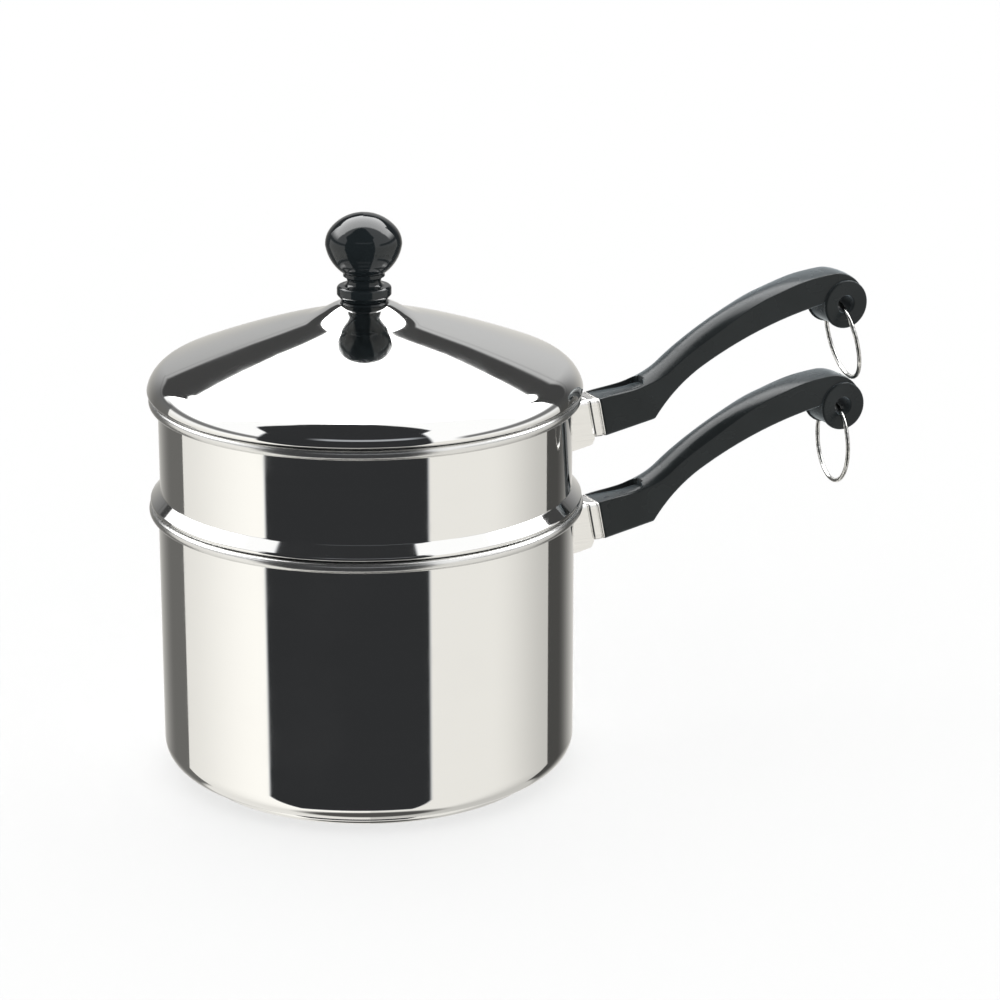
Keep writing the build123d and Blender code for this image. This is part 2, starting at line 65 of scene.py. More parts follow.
class Bend:
    """A line drawn as sheet is bent: runs and arcs, each leaving along the one before."""

    def __init__(self, x, y, heading):
        self.x, self.y, self.heading = x, y, radians(heading)
        self.spots = [(x, y, self.heading)]

    def mark(self):
        self.spots.append((self.x, self.y, self.heading))

    def run(self, length):
        self.x += length * cos(self.heading)
        self.y += length * sin(self.heading)
        self.mark()
        return self

    def turn(self, radius, angle, fineness=6.0):
        """An arc through an angle in degrees, to the left where the angle is positive."""
        side = radius if angle > 0 else -radius
        centre_x = self.x - side * sin(self.heading)
        centre_y = self.y + side * cos(self.heading)
        steps = max(2, ceil(abs(angle) / fineness))
        for _ in range(steps):
            self.heading += radians(angle) / steps
            self.x = centre_x + side * sin(self.heading)
            self.y = centre_y - side * cos(self.heading)
            self.mark()
        return self

    def reach(self, x, y, fineness=1.0):
        """The one arc that leaves along the last stretch and ends at a given point."""
        lean = (atan2(y - self.y, x - self.x) - self.heading + pi) % (2 * pi) - pi
        chord = hypot(x - self.x, y - self.y)
        return self.turn(chord / 2 / abs(sin(lean)), degrees(2 * lean), fineness)

    def at(self, share):
        """The point at a share of the line's length."""
        lengths = [0.0]
        for (x0, y0, _), (x1, y1, _) in zip(self.spots, self.spots[1:]):
            lengths.append(lengths[-1] + hypot(x1 - x0, y1 - y0))
        place = min(max(share, 0.0), 1.0) * lengths[-1]
        for i, end in enumerate(lengths[1:]):
            if place <= end or i == len(lengths) - 2:
                part = (place - lengths[i]) / (end - lengths[i])
                (x0, y0, _), (x1, y1, _) = self.spots[i], self.spots[i + 1]
                return x0 + part * (x1 - x0), y0 + part * (y1 - y0)


def sheet(middle, wall):
    """Both faces of a sheet about its middle line, right face first, with rounded cut ends."""
    half = wall / 2

    def beside(spot, angle):
        x, y, heading = spot
        return x + half * cos(heading + angle), y + half * sin(heading + angle)

    def cut(spot, first):
        return [beside(spot, first + radians(step)) for step in range(30, 180, 30)]

    right = [beside(spot, -pi / 2) for spot in middle.spots]
    left = [beside(spot, pi / 2) for spot in reversed(middle.spots)]
    outline = [(x, y, 0) for x, y in right + cut(middle.spots[-1], -pi / 2)]
    outline += [(x, y, 1) for x, y in left]
    if middle.spots[0][0] > 0:
        outline += [(x, y, 0) for x, y in cut(middle.spots[0], pi / 2)]
        outline.append(outline[0])
    return outline


def skin(name, rows, finishes, finish_of_row=None, capped=False):
    """A closed skin over rows of points that each go round once. A row of one point is a tip."""
    points, faces, looks, starts = [], [], [], []
    for row in rows:
        starts.append(len(points))
        points.extend(row)
    for i, (here, there) in enumerate(zip(rows, rows[1:])):
        round_count = max(len(here), len(there))
        for j in range(round_count):
            k = (j + 1) % round_count
            face = [starts[i] + j, starts[i] + k, starts[i + 1] + k, starts[i + 1] + j]
            if len(here) == 1:
                face = [starts[i], starts[i + 1] + k, starts[i + 1] + j]
            elif len(there) == 1:
                face = face[:2] + [starts[i + 1]]
            faces.append(face)
            looks.append(finish_of_row[i] if finish_of_row else 0)
    if capped:
        for start, row in ((starts[0], rows[0]), (starts[-1], rows[-1])):
            face = list(range(start, start + len(row)))
            faces.append(face if start else face[::-1])
            looks.append(0)
    volume = sum(
        Vector(points[f[0]]).dot(Vector(points[f[i]]).cross(Vector(points[f[i + 1]])))
        for f in faces
        for i in range(1, len(f) - 1)
    )
    if volume < 0:
        faces = [face[::-1] for face in faces]
    mesh = bpy.data.meshes.new(name)
    mesh.from_pydata([[c * MM for c in point] for point in points], [], faces)
    mesh.polygons.foreach_set("material_index", looks)
    for finish in finishes:
        mesh.materials.append(finish)
    piece = bpy.data.objects.new(name, mesh)
    bpy.context.scene.collection.objects.link(piece)
    return piece


def settle(piece):
    """Makes what a piece's modifiers do part of its mesh."""
    bpy.context.view_layer.update()
    worked = piece.evaluated_get(bpy.context.evaluated_depsgraph_get())
    piece.data = bpy.data.meshes.new_from_object(worked)
    piece.modifiers.clear()
    return piece


def even_out(piece, crease=38.0):
    """Lets flat faces keep their own direction, and creases the edges that turn sharply."""
    piece.data.shade_smooth()
    piece.data.set_sharp_from_angle(angle=radians(crease))
    evener = piece.modifiers.new("even", "WEIGHTED_NORMAL")
    evener.keep_sharp = True
    return settle(piece)


def fit(piece, body, slot, *stands_for):
    """Joins a piece to the body it moves with and hides the solids it stands for. The slot is not used."""
    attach(piece, body)
    if stands_for:
        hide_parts(*stands_for)


def turned(name, outline, finishes, swap=False, sides=around):
    """A body of revolution about Z from an outline of radius, height and face."""
    rows = []
    for radius, height, _ in outline:
        turns = [2 * pi * j / sides for j in range(sides if radius > 1e-6 else 1)]
        rows.append([(radius * cos(a), radius * sin(a), height) for a in turns])
    looks = [int((face == 0) == swap) if len(finishes) > 1 else 0 for _, _, face in outline]
    return even_out(skin(name, rows, finishes, looks))


class Shade:
    """One output of a shader tree, with arithmetic."""

    def __init__(self, tree, socket=None):
        self.tree = tree
        self.socket = socket

    def node(self, kind, settings=None, **values):
        """Adds a node: settings first, then sockets, by name or by s and their number."""
        made = self.tree.nodes.new(kind)
        for key, value in (settings or {}).items():
            setattr(made, key, value)
        for key, value in values.items():
            socket = made.inputs[int(key[1:]) if key[1:].isdigit() else key.replace("_", " ")]
            if isinstance(value, Shade):
                self.tree.links.new(value.socket, socket)
            else:
                socket.default_value = value
        return made

    def math(self, operation, *values):
        sockets = {f"s{i}": value for i, value in enumerate(values)}
        made = self.node("ShaderNodeMath", {"operation": operation}, **sockets)
        return Shade(self.tree, made.outputs[0])

    def __add__(self, other):
        return self.math("ADD", self, other)

    def __sub__(self, other):
        return self.math("SUBTRACT", self, other)

    def __rsub__(self, other):
        return self.math("SUBTRACT", other, self)

    def __mul__(self, other):
        return self.math("MULTIPLY", self, other)

    def __truediv__(self, other):
        return self.math("DIVIDE", self, other)

    def __neg__(self):
        return self.math("MULTIPLY", self, -1.0)

    def __abs__(self):
        return self.math("ABSOLUTE", self)

    def __gt__(self, other):
        return self.math("GREATER_THAN", self, other)

    __radd__ = __add__
    __rmul__ = __mul__

    def root(self):
        return self.math("SQRT", self)

    def ramp_up(self, low, high):
        """Rises smoothly from 0 at low to 1 at high."""
        settings = {"interpolation_type": "SMOOTHSTEP", "clamp": True}
        made = self.node("ShaderNodeMapRange", settings, Value=self, From_Min=low, From_Max=high)
        return Shade(self.tree, made.outputs["Result"])

    def fade(self, first, second):
        """The first number where this value is 0, the second where it is 1."""
        return first * (1.0 - self) + second * self

    def blend(self, first, second):
        """The first colour where this value is 0, the second where it is 1."""
        made = self.node("ShaderNodeMix", {"data_type": "RGBA"}, s0=self, s6=first, s7=second)
        return Shade(self.tree, made.outputs[2])

    def parts(self):
        return [Shade(self.tree, out) for out in self.node("ShaderNodeSeparateXYZ", Vector=self).outputs]

    def joined(self, *parts):
        made = self.node("ShaderNodeCombineXYZ", X=parts[0], Y=parts[1], Z=parts[2])
        return Shade(self.tree, made.outputs[0])

    def stretched(self, *factors):
        made = self.node("ShaderNodeVectorMath", {"operation": "MULTIPLY"}, s0=self, s1=factors)
        return Shade(self.tree, made.outputs[0])

    def noise(self, scale, detail=2.0):
        made = self.node("ShaderNodeTexNoise", Vector=self, Scale=scale, Detail=detail)
        return Shade(self.tree, made.outputs[0])


def finish(name, metallic):
    """A new material: its surface shader, and the place on the piece in metres."""
    material = bpy.data.materials.new(name)
    material.use_nodes = True
    shader = material.node_tree.nodes["Principled BSDF"]
    shader.inputs["Metallic"].default_value = metallic
    start = Shade(material.node_tree)
    return material, shader, Shade(start.tree, start.node("ShaderNodeTexCoord").outputs["Object"])


def wire_up(shader, place, **feeds):
    """Links what changes over the surface to the surface shader's sockets."""
    for key, value in feeds.items():
        place.tree.links.new(value.socket, shader.inputs[key.replace("_", " ")])


def relief(place, height, depth_mm):
    """The lean of a surface that is as rough as a height times a depth."""
    made = place.node("ShaderNodeBump", Height=height, Distance=depth_mm * MM, Strength=1.0)
    return Shade(place.tree, made.outputs["Normal"])


rings_per_metre, bands_per_metre = 2400.0, 260.0


def buffed_steel(name, bright, smooth, ring_depth, ring_tone):
    """Steel finished while it spins: rings too fine to see singly, faint smudges, soft handling."""
    material, shader, place = finish(name, 1.0)
    x, y, z = place.parts()
    radius = (x * x + y * y).root() + 1e-5
    facing_x, facing_y = x / radius, y / radius
    along_wall = radius - 0.6 * z
    rings = place.joined(facing_x * 0.9, facing_y * 0.9, along_wall * rings_per_metre).noise(1.0, 3.0)
    bands = place.joined(facing_x * 0.4, facing_y * 0.4, along_wall * bands_per_metre).noise(1.0, 2.0)
    smudge = place.noise(26.0, 4.0).ramp_up(0.52, 0.72)
    tone = (rings * 0.6 + bands * 0.4) * ring_tone + smudge * 0.10
    dull = tuple(0.93 * part for part in bright[:3]) + (1.0,)
    wire_up(
        shader,
        place,
        Base_Color=tone.blend(bright, dull),
        Roughness=smooth + 0.03 * bands + 0.035 * smudge,
        Normal=relief(place, rings, ring_depth),
    )
    return material


mirror_steel = buffed_steel(
    "mirror_steel", bright=(0.83, 0.83, 0.82, 1.0), smooth=0.035, ring_depth=0.00012, ring_tone=0.25
)
spun_steel = buffed_steel(
    "spun_steel", bright=(0.74, 0.74, 0.73, 1.0), smooth=0.20, ring_depth=0.0012, ring_tone=0.7
)
pan_finishes = [mirror_steel, spun_steel]

pot_middle = pot_radius - pot_wall / 2
pot_bead_z = pot_height - bead_radius
pot_line = Bend(0.0, base_thickness + pot_wall / 2, 0.0)
pot_line.run(pot_middle - pot_corner_radius).turn(pot_corner_radius, 90.0, 3.0)
pot_line.run(pot_bead_z - pot_line.y).turn(bead_radius - pot_wall / 2, -bead_curl, 8.0)
pot = turned("saucepan", sheet(pot_line, pot_wall), pan_finishes)
fit(pot, "lower_pot", "polished_steel", "lower_pot_shell")

# Base. A steel cap pressed over an aluminium disc under the saucepan, so that the heat spreads.
# The cap's edge stops short of the pan's corner and leaves a thin shadow there.
cap_radius = 69.8
cap_wall = 0.6
cap_corner = 3.4
cap_line = Bend(0.0, cap_wall / 2, 0.0).run(cap_radius - cap_corner)
cap_line.turn(cap_corner - cap_wall / 2, 90.0, 9.0).run(base_thickness - cap_corner)
base_cap = turned("base_cap_sheet", sheet(cap_line, cap_wall), [mirror_steel])
fit(base_cap, "lower_pot", "polished_steel", "base_cap")

core_fit = 0.05
core_line = Bend(0.0, cap_wall, 0.0).run(cap_radius - cap_corner - core_fit)
core_line.turn(cap_corner - cap_wall, 90.0, 9.0).run(base_thickness - cap_corner)
core_outline = core_line.spots + [(0.0, base_thickness, 0.0)]
core_metal, core_shader, core_place = finish("cast_aluminium", 1.0)
core_grain = core_place.noise(900.0, 3.0)
wire_up(
    core_shader,
    core_place,
    Base_Color=core_grain.blend((0.80, 0.80, 0.81, 1.0), (0.70, 0.70, 0.71, 1.0)),
    Roughness=0.35 + 0.2 * core_grain,
)
core = turned("base_core_disc", core_outline, [core_metal])
fit(core, "lower_pot", "heat_core", "base_core")

# Insert pan. The narrow part hangs inside the saucepan, and the sheet folds out over its rim as a
# ledge and a short cone, then goes up to a rolled rim like the saucepan's.
seat_gap, nest_gap = 0.3, 1.3
insert_radius = 79.2
insert_rise, insert_drop = 42.7, 71.0
insert_corner_radius = 11.0
insert_rim_z = pot_height + insert_rise
insert_floor_z = pot_height - insert_drop + pot_wall / 2
insert_lower_middle = pot_radius - pot_wall - nest_gap - pot_wall / 2
ledge_inset = 1.0
ledge_z = pot_height + seat_gap + pot_wall / 2
ledge_radius = pot_radius - pot_wall + 2 * bead_radius - ledge_inset
shoulder_fold = 0.7
shoulder_slope = 47.0
shoulder_top_radius = 1.0
insert_middle = insert_radius - pot_wall / 2
insert_line = Bend(0.0, insert_floor_z, 0.0).run(insert_lower_middle - insert_corner_radius)
insert_line.turn(insert_corner_radius, 90.0, 3.0).run(ledge_z - shoulder_fold - insert_line.y)
insert_line.turn(shoulder_fold, -90.0, 15.0).run(ledge_radius - shoulder_fold - insert_line.x)
insert_line.turn(shoulder_fold, 180.0 - shoulder_slope, 10.0)
cone_run = insert_line.x - insert_middle - shoulder_top_radius * (1 - sin(radians(shoulder_slope)))
insert_line.run(cone_run / cos(radians(shoulder_slope)))
insert_line.turn(shoulder_top_radius, shoulder_slope - 90.0, 8.0)
insert_line.run(insert_rim_z - bead_radius - insert_line.y)
insert_line.turn(bead_radius - pot_wall / 2, -bead_curl, 8.0)
insert = turned("insert_pan_sheet", sheet(insert_line, pot_wall), pan_finishes)
fit(insert, "insert_pan", "polished_steel", "insert_shell")

# Lid. Spun from thinner sheet: a sunk seat for the knob with a low rim, a swept rise, a crowned
# field, a round shoulder, and a hem folded back under it into the skirt that finds the rim.
lid_wall = 0.7
seat_radius, seat_turn, seat_bend = 8.85, 75.0, 0.5
rim_radius, rim_angle = 9.7, 22.8
neck_radius, neck_angle = 15.0, 28.6
dip_radius, dip_angle = 24.0, 17.0
waist_radius, waist_angle = 44.0, 15.7
lid_overhang, shoulder_inset = 0.5, 6.85
edge_radius = insert_radius - pot_wall + 2 * bead_radius + lid_overhang - lid_wall / 2
edge_angle = 74.0
shoulder_radius, shoulder_angle = edge_radius - shoulder_inset, 25.0
hem_radius = 1.05
skirt_depth, skirt_gap = 5.0, 0.7
skirt_radius = insert_radius - pot_wall - skirt_gap - lid_wall / 2
screw_hole_radius = 2.3


def fall(inner, outer, inner_angle, outer_angle):
    """How far an arc drops between two radii: its chord has the mean of its two slopes."""
    return (outer - inner) * tan(radians((inner_angle + outer_angle) / 2))


lid_edge_z = insert_rim_z + seat_gap + lid_wall / 2 + hem_radius * (1 + cos(radians(edge_angle)))
lid_shoulder_z = lid_edge_z + fall(shoulder_radius, edge_radius, shoulder_angle, edge_angle)
lid_waist_z = lid_shoulder_z + fall(waist_radius, shoulder_radius, waist_angle, shoulder_angle)
lid_dip_z = lid_waist_z + fall(dip_radius, waist_radius, dip_angle, waist_angle)
lid_neck_z = lid_dip_z + fall(neck_radius, dip_radius, neck_angle, dip_angle)
lid_rim_z = lid_neck_z + fall(rim_radius, neck_radius, rim_angle, neck_angle)
knob_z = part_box("lid_knob")[0][2] / MM
lid_line = Bend(screw_hole_radius, knob_z - lid_wall / 2, 0.0).run(seat_radius - screw_hole_radius)
climb = lid_rim_z - lid_line.y - 2 * seat_bend * (1 - cos(radians(seat_turn)))
lid_line.turn(seat_bend, seat_turn, 15.0).run(climb / sin(radians(seat_turn)))
lid_line.turn(seat_bend, -seat_turn - rim_angle, 15.0).reach(neck_radius, lid_neck_z, 1.0)
lid_line.reach(dip_radius, lid_dip_z, 1.0).reach(waist_radius, lid_waist_z, 0.5)
lid_line.reach(shoulder_radius, lid_shoulder_z, 0.5).reach(edge_radius, lid_edge_z, 2.5)
lid_line.turn(hem_radius, edge_angle - 180.0, 10.0)
lid_line.run(lid_line.x - skirt_radius - hem_radius)
lid_line.turn(hem_radius, 90.0, 15.0).run(skirt_depth - hem_radius)
lid = turned("lid_sheet", sheet(lid_line, lid_wall), pan_finishes, swap=True)
fit(lid, "lid", "polished_steel", "lid_shell")

# Knob. Black phenolic, moulded round a threaded brass insert and polished all over. A washer and a
# slotted screw from inside the lid pull it down on its seat.
knob_foot_radius, knob_foot_band, knob_groove = 8.9, 1.7, 0.6
knob_collar_radius, knob_collar_start, knob_collar_top = 10.4, 4.2, 6.4
knob_neck_bend, knob_neck_turn = 1.75, 150.0
knob_step_radius, knob_step_z, knob_step_band = 7.9, 11.2, 0.9
ball_radius, ball_half_height, ball_z = 14.6, 11.9, 23.6
ball_side_radius = 9.5
knob_edge = 0.35
knob_collar_round, knob_collar_shelf = 1.2, 1.0
knob_step_edge, knob_step_lead, knob_step_turn = 0.25, 0.05, 60.0
bloom_tint = (0.78, 0.92, 1.0, 1.0)


def mottled_black(name, low, high, smooth, rough, pore_depth, gloss, bloom):
    """Moulded phenolic: a deep black that clouds a little, with fine pores and light rubbing."""
    material, shader, place = finish(name, 0.0)
    shader.inputs["Specular IOR Level"].default_value = gloss
    shader.inputs["Sheen Weight"].default_value = bloom
    shader.inputs["Sheen Roughness"].default_value = 0.4
    shader.inputs["Sheen Tint"].default_value = bloom_tint
    cloud = place.noise(55.0, 3.0)
    pores = place.noise(1500.0, 2.0)
    rubbed = place.stretched(0.35, 1.0, 1.0).noise(240.0, 4.0).ramp_up(0.55, 0.8)
    wire_up(
        shader,
        place,
        Base_Color=cloud.blend(low, high),
        Roughness=smooth + rough * (0.6 * cloud + 0.4 * rubbed),
        Normal=relief(place, pores, pore_depth),
    )
    return material


polished_black = mottled_black(
    "polished_phenolic",
    low=(0.009, 0.012, 0.013, 1.0),
    high=(0.016, 0.021, 0.024, 1.0),
    smooth=0.04,
    rough=0.05,
    pore_depth=0.0006,
    gloss=0.4,
    bloom=0.0,
)
knob_line = Bend(0.0, knob_z, 0.0).run(knob_foot_radius - knob_edge).turn(knob_edge, 90.0, 18.0)
knob_line.run(knob_foot_band - 2 * knob_edge).turn(knob_edge, 90.0, 18.0).run(knob_groove - knob_edge)
knob_line.heading = atan2(
    knob_collar_start - knob_foot_band, knob_collar_radius - knob_foot_radius + knob_groove
)
knob_line.mark()
flare = pi / 2 - knob_line.heading
flare_cut = 2 * knob_edge * tan(flare / 2)
flare_end = (knob_z + knob_collar_start - knob_line.y) / cos(flare)
knob_line.run(flare_end - flare_cut).turn(2 * knob_edge, degrees(flare), 12.0)
knob_line.run(knob_z + knob_collar_top - knob_line.y).turn(knob_collar_round, 90.0, 10.0)
knob_line.run(knob_collar_shelf).turn(knob_neck_bend, -knob_neck_turn, 10.0)
knob_line.reach(knob_step_radius - knob_step_lead, knob_z + knob_step_z)
knob_line.turn(knob_step_edge, knob_step_turn, 15.0)
knob_line.run(knob_step_band).turn(knob_step_edge, -knob_step_turn, 15.0)
side_middle = ball_radius - ball_side_radius
cap_reach = (side_middle**2 + ball_half_height**2 - ball_side_radius**2) / (
    2 * (ball_half_height - ball_side_radius)
)
knob_line.reach(ball_radius, knob_z + ball_z, 3.0)
knob_line.heading = pi / 2
knob_line.turn(ball_side_radius, degrees(atan2(cap_reach - ball_half_height, side_middle)), 3.0)
knob_line.reach(0.0, knob_z + ball_z + ball_half_height, 3.0)
knob_outline = [(x if x > 0.01 else 0.0, y, 0) for x, y, _ in knob_line.spots]
knob_sides = 96
knob = turned("knob", knob_outline, [polished_black], sides=knob_sides)
fit(knob, "lid", "black_phenolic", "lid_knob")

brass, brass_shader, brass_place = finish("turned_brass", 1.0)
brass_rings = brass_place.stretched(0.1, 0.1, 1.0).noise(2500.0)
wire_up(
    brass_shader,
    brass_place,
    Base_Color=brass_rings.blend((0.78, 0.60, 0.30, 1.0), (0.66, 0.50, 0.24, 1.0)),
    Roughness=0.2 + 0.2 * brass_rings,
)
screw_metal, screw_shader, screw_place = finish("screw_steel", 1.0)
screw_grain = screw_place.noise(1800.0, 3.0)
wire_up(
    screw_shader,
    screw_place,
    Base_Color=screw_grain.blend((0.68, 0.68, 0.67, 1.0), (0.55, 0.55, 0.55, 1.0)),
    Roughness=0.22 + 0.2 * screw_grain,
    Normal=relief(screw_place, screw_grain, 0.01),
)


def dress(node_name, material):
    """Gives a solid whose own shape is right its finish."""
    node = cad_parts[node_name]
    node.data.materials.clear()
    node.data.materials.append(material)


dress("knob_insert", brass)
dress("knob_washer", screw_metal)
dress("knob_screw", screw_metal)

# Handle brackets. A stainless channel, a web on top and a cheek each side, welded on edge to the
# pan's wall. The cheeks' lower corners are rounded, and a tang between them runs into the handle.
handle_joint_x = 99.65
handle_joint_drop = 22.2
root_depth = 16.1
tilt = radians(11.0)
handle_width = 13.4
collar_length = 5.6
bracket_width = 11.8
bracket_sheet = 1.2
bracket_bend = 1.7
web_step = 0.5
foot_step = 2.6
foot_slope = radians(10.5)
foot_round = 2.0
weld_gap, weld_flare, flare_share = 0.02, 0.4, 0.0625
heel_lap, collar_lap = 0.5, 0.6
bracket_steps = 24
levels = (
    ("lower", "lower_pot", pot_height, pot_radius),
    ("upper", "insert_pan", insert_rim_z, insert_radius),
)

bright_sheet, sheet_shader, sheet_place = finish("bright_sheet", 1.0)
drawn = sheet_place.stretched(0.05, 1.0, 1.0).noise(1500.0, 3.0)
clouds = sheet_place.noise(120.0, 3.0)
wire_up(
    sheet_shader,
    sheet_place,
    Base_Color=drawn.blend((0.84, 0.835, 0.82, 1.0), (0.74, 0.735, 0.72, 1.0)),
    Roughness=0.10 + 0.10 * clouds + 0.06 * drawn,
    Normal=relief(sheet_place, drawn, 0.0015),
)


def along_root(distance, height):
    """A point of the handle's root, which points outward and a little up."""
    return distance * cos(tilt) - height * sin(tilt), distance * sin(tilt) + height * cos(tilt)


def channel(wall_radius, joint_z):
    """Rows of the bracket from the pan's wall to the collar, each once round the sheet."""
    top_x, top_z = along_root(0.0, root_depth / 2)
    foot_x, foot_z = along_root(0.0, -root_depth / 2)
    back_x = handle_joint_x + top_x - collar_length + web_step * tan(tilt)
    web_z = joint_z + top_z - web_step
    heel_x = handle_joint_x + foot_x - collar_length + foot_step * tan(tilt)
    heel_z = joint_z + foot_z - foot_step

    def foot_at(x):
        rise = heel_z - (heel_x - x) * tan(foot_slope)
        near = x - (heel_x - foot_round)
        return rise + (foot_round - sqrt(max(foot_round**2 - near**2, 0.0)) if near > 0 else 0.0)

    rim = []
    inner_face = bracket_width / 2 - bracket_sheet
    for face, radius in ((bracket_width / 2, bracket_bend), (inner_face, bracket_bend - bracket_sheet)):
        drop = bracket_width / 2 - face
        half = [(face, share, 0.0, drop, radius) for share in (1.0, 0.75, 0.5, 0.25)]
        for step in range(0, 91, 15):
            angle = radians(step)
            half.append((face - radius + radius * cos(angle), 0.0, radius * sin(angle), drop, radius))
        whole = half + [(-y, *rest) for y, *rest in reversed(half)]
        rim += whole if drop == 0.0 else whole[::-1]
    rows = []
    for step in range(bracket_steps + 1):
        share_out = step / bracket_steps
        flare_out = weld_flare * max(0.0, 1.0 - share_out / flare_share) ** 2
        row = []
        for y, down, lift, drop, radius in rim:
            wall_x = sqrt((wall_radius + weld_gap) ** 2 - y * y)
            bend_z = web_z - drop - radius
            foot = foot_at(min(wall_x + share_out * (heel_x + heel_lap - wall_x), heel_x))
            z = bend_z + lift - down * (bend_z - foot)
            end_x = back_x + collar_lap + (web_z - z) * tan(tilt)
            out = flare_out if drop == 0.0 else 0.0
            x = wall_x + share_out * (end_x - wall_x)
            row.append((x, y + (out if y > 0 else -out), z + (out if lift else 0.0)))
        rows.append(row)
    return rows


for level, body, rim_z, wall_radius in levels:
    joint_z = rim_z - handle_joint_drop
    bracket = skin(f"{level}_bracket", channel(wall_radius, joint_z), [bright_sheet], capped=True)
    fit(even_out(bracket), body, "drawn_steel", f"{level}_handle_bracket")
    dress(f"{level}_handle_tang", screw_metal)

# Collars. A small stainless cup pressed to the handle's section, pillowed at its back, with a flat
# flange in front. The handle's root butts against the flange.
collar_pillow = 1.5
collar_corner = 1.8
flange, flange_bevel = 0.9, 0.15
groove_depth, groove_start, groove_end = 0.45, 0.1, 0.35
cup_start, cup_round = 0.45, 0.5
joint_gap, joint_bevel = 0.02, 0.3


def rounded_box(half_width, half_height, radius, steps=5):
    """Once round a rectangle with rounded corners."""
    loop = []
    for corner in range(4):
        sign_x = 1 if corner in (0, 3) else -1
        sign_y = 1 if corner in (0, 1) else -1
        for step in range(steps + 1):
            angle = radians(90.0 * (corner + step / steps))
            loop.append(
                (
                    sign_x * (half_width - radius) + radius * cos(angle),
                    sign_y * (half_height - radius) + radius * sin(angle),
                )
            )
    return loop


def collar_rows(joint_z):
    """Sections from the front of the flange to the pillowed back, each parallel to the joint."""
    places = [(joint_gap, joint_bevel), (joint_bevel, 0.0)]
    places += [(flange - flange_bevel, 0.0), (flange, flange_bevel)]
    places += [(flange + groove_start, groove_depth), (flange + groove_end, groove_depth)]
    cup_front = flange + cup_start
    for step in range(0, 91, 18):
        turn_in = radians(step)
        places.append((cup_front + cup_round * (1 - cos(turn_in)), groove_depth * (1 - sin(turn_in))))
    for step in range(0, 91, 10):
        turn_in = radians(step)
        inward = collar_pillow * (1 - cos(turn_in))
        places.append((collar_length - collar_pillow * (1 - sin(turn_in)), inward))
    rows = []
    for back, inset in places:
        loop = rounded_box(handle_width / 2 - inset, root_depth / 2 - inset, collar_corner)
        row = []
        for y, height in loop:
            x, z = along_root(0.0, height)
            row.append((handle_joint_x + x - back, y, joint_z + z))
        rows.append(row)
    return rows


for level, body, rim_z, wall_radius in levels:
    joint_z = rim_z - handle_joint_drop
    collar = skin(f"{level}_collar", collar_rows(joint_z), [bright_sheet], capped=True)
    fit(even_out(collar, 50.0), body, "drawn_steel", f"{level}_handle_collar")

# Handles. Compression moulded black phenolic: a boxy root with a scoop between two rails, an
# S-shaped grip whose crowned top meets the flat flanks in a soft edge, and a cross boss with a
# rim on each side for the hanging ring. A slotted screw from below holds the tang in the root.
handle_reach, handle_rise = 110.25, 33.8
grip_half_width, end_half_width = 7.1, 6.6
root_length = 22.4
rail_run = 14.0
heel_radius = 1.6
grip_angle = 29.0
rise_start_share, crest_share = (0.284, 0.571), (0.950, 1.402)
crest_length_share = 0.803
grip_share, tail_share = (0.409, 0.467), (0.905, 1.021)
boss_radius, boss_half_width = 9.9, 7.8
hub_radius, boss_wrap = 6.0, -50.0
ring_hole_radius = 3.7
scoop_length, scoop_depth, scoop_rail, scoop_corner = 21.5, 2.6, 1.3, 3.0
scoop_mouth, scoop_run_out, scoop_close = 0.4, 1.1, 1.2
scoop_floor_round, scoop_rail_round = 0.5, 0.3
root_round, edge_round, foot_edge_round = 0.45, 0.7, 1.5
row_spacing = 1.1
# Each pair is a distance from the joint, and the drop of the crowned top to its edge there
crown_drops = ((0.0, 0.25), (18.0, 1.6), (34.0, 2.6), (58.0, 3.8), (86.0, 1.7), (106.0, 0.5), (160.0, 0.4))

satin_black = mottled_black(
    "moulded_phenolic",
    low=(0.007, 0.009, 0.009, 1.0),
    high=(0.018, 0.021, 0.022, 1.0),
    smooth=0.20,
    rough=0.22,
    pore_depth=0.004,
    gloss=0.18,
    bloom=0.5,
)


def crown_drop(distance):
    """How far the top falls from its middle to its edge, at a distance from the joint."""
    for (start, first), (end, second) in zip(crown_drops, crown_drops[1:]):
        if distance <= end:
            share = (distance - start) / (end - start)
            return first + (second - first) * share * share * (3 - 2 * share)
    return crown_drops[-1][1]


def handle_lines():
    """The top and the underside of the handle, from the joint to where they wrap the boss."""
    top = Bend(*along_root(0.0, root_depth / 2), degrees(tilt)).run(rail_run)
    top.reach(handle_reach * rise_start_share[0], handle_rise * rise_start_share[1])
    top.reach(handle_reach * crest_share[0], handle_rise * crest_share[1])
    top.reach(handle_reach + boss_radius, handle_rise, 3.0).turn(boss_radius, boss_wrap)
    grip_x, grip_z = handle_reach * grip_share[0], handle_rise * grip_share[1]
    heel_x, heel_z = along_root(root_length, -root_depth / 2)
    leave = 2 * degrees(atan2(grip_z - heel_z, grip_x - heel_x)) - grip_angle
    heel_turn = leave - degrees(tilt)
    foot = Bend(*along_root(0.0, -root_depth / 2), degrees(tilt))
    foot.run(root_length - heel_radius * tan(radians(heel_turn / 2))).turn(heel_radius, heel_turn, 8.0)
    foot.reach(grip_x, grip_z).reach(handle_reach * tail_share[0], handle_rise * tail_share[1])
    return top, foot


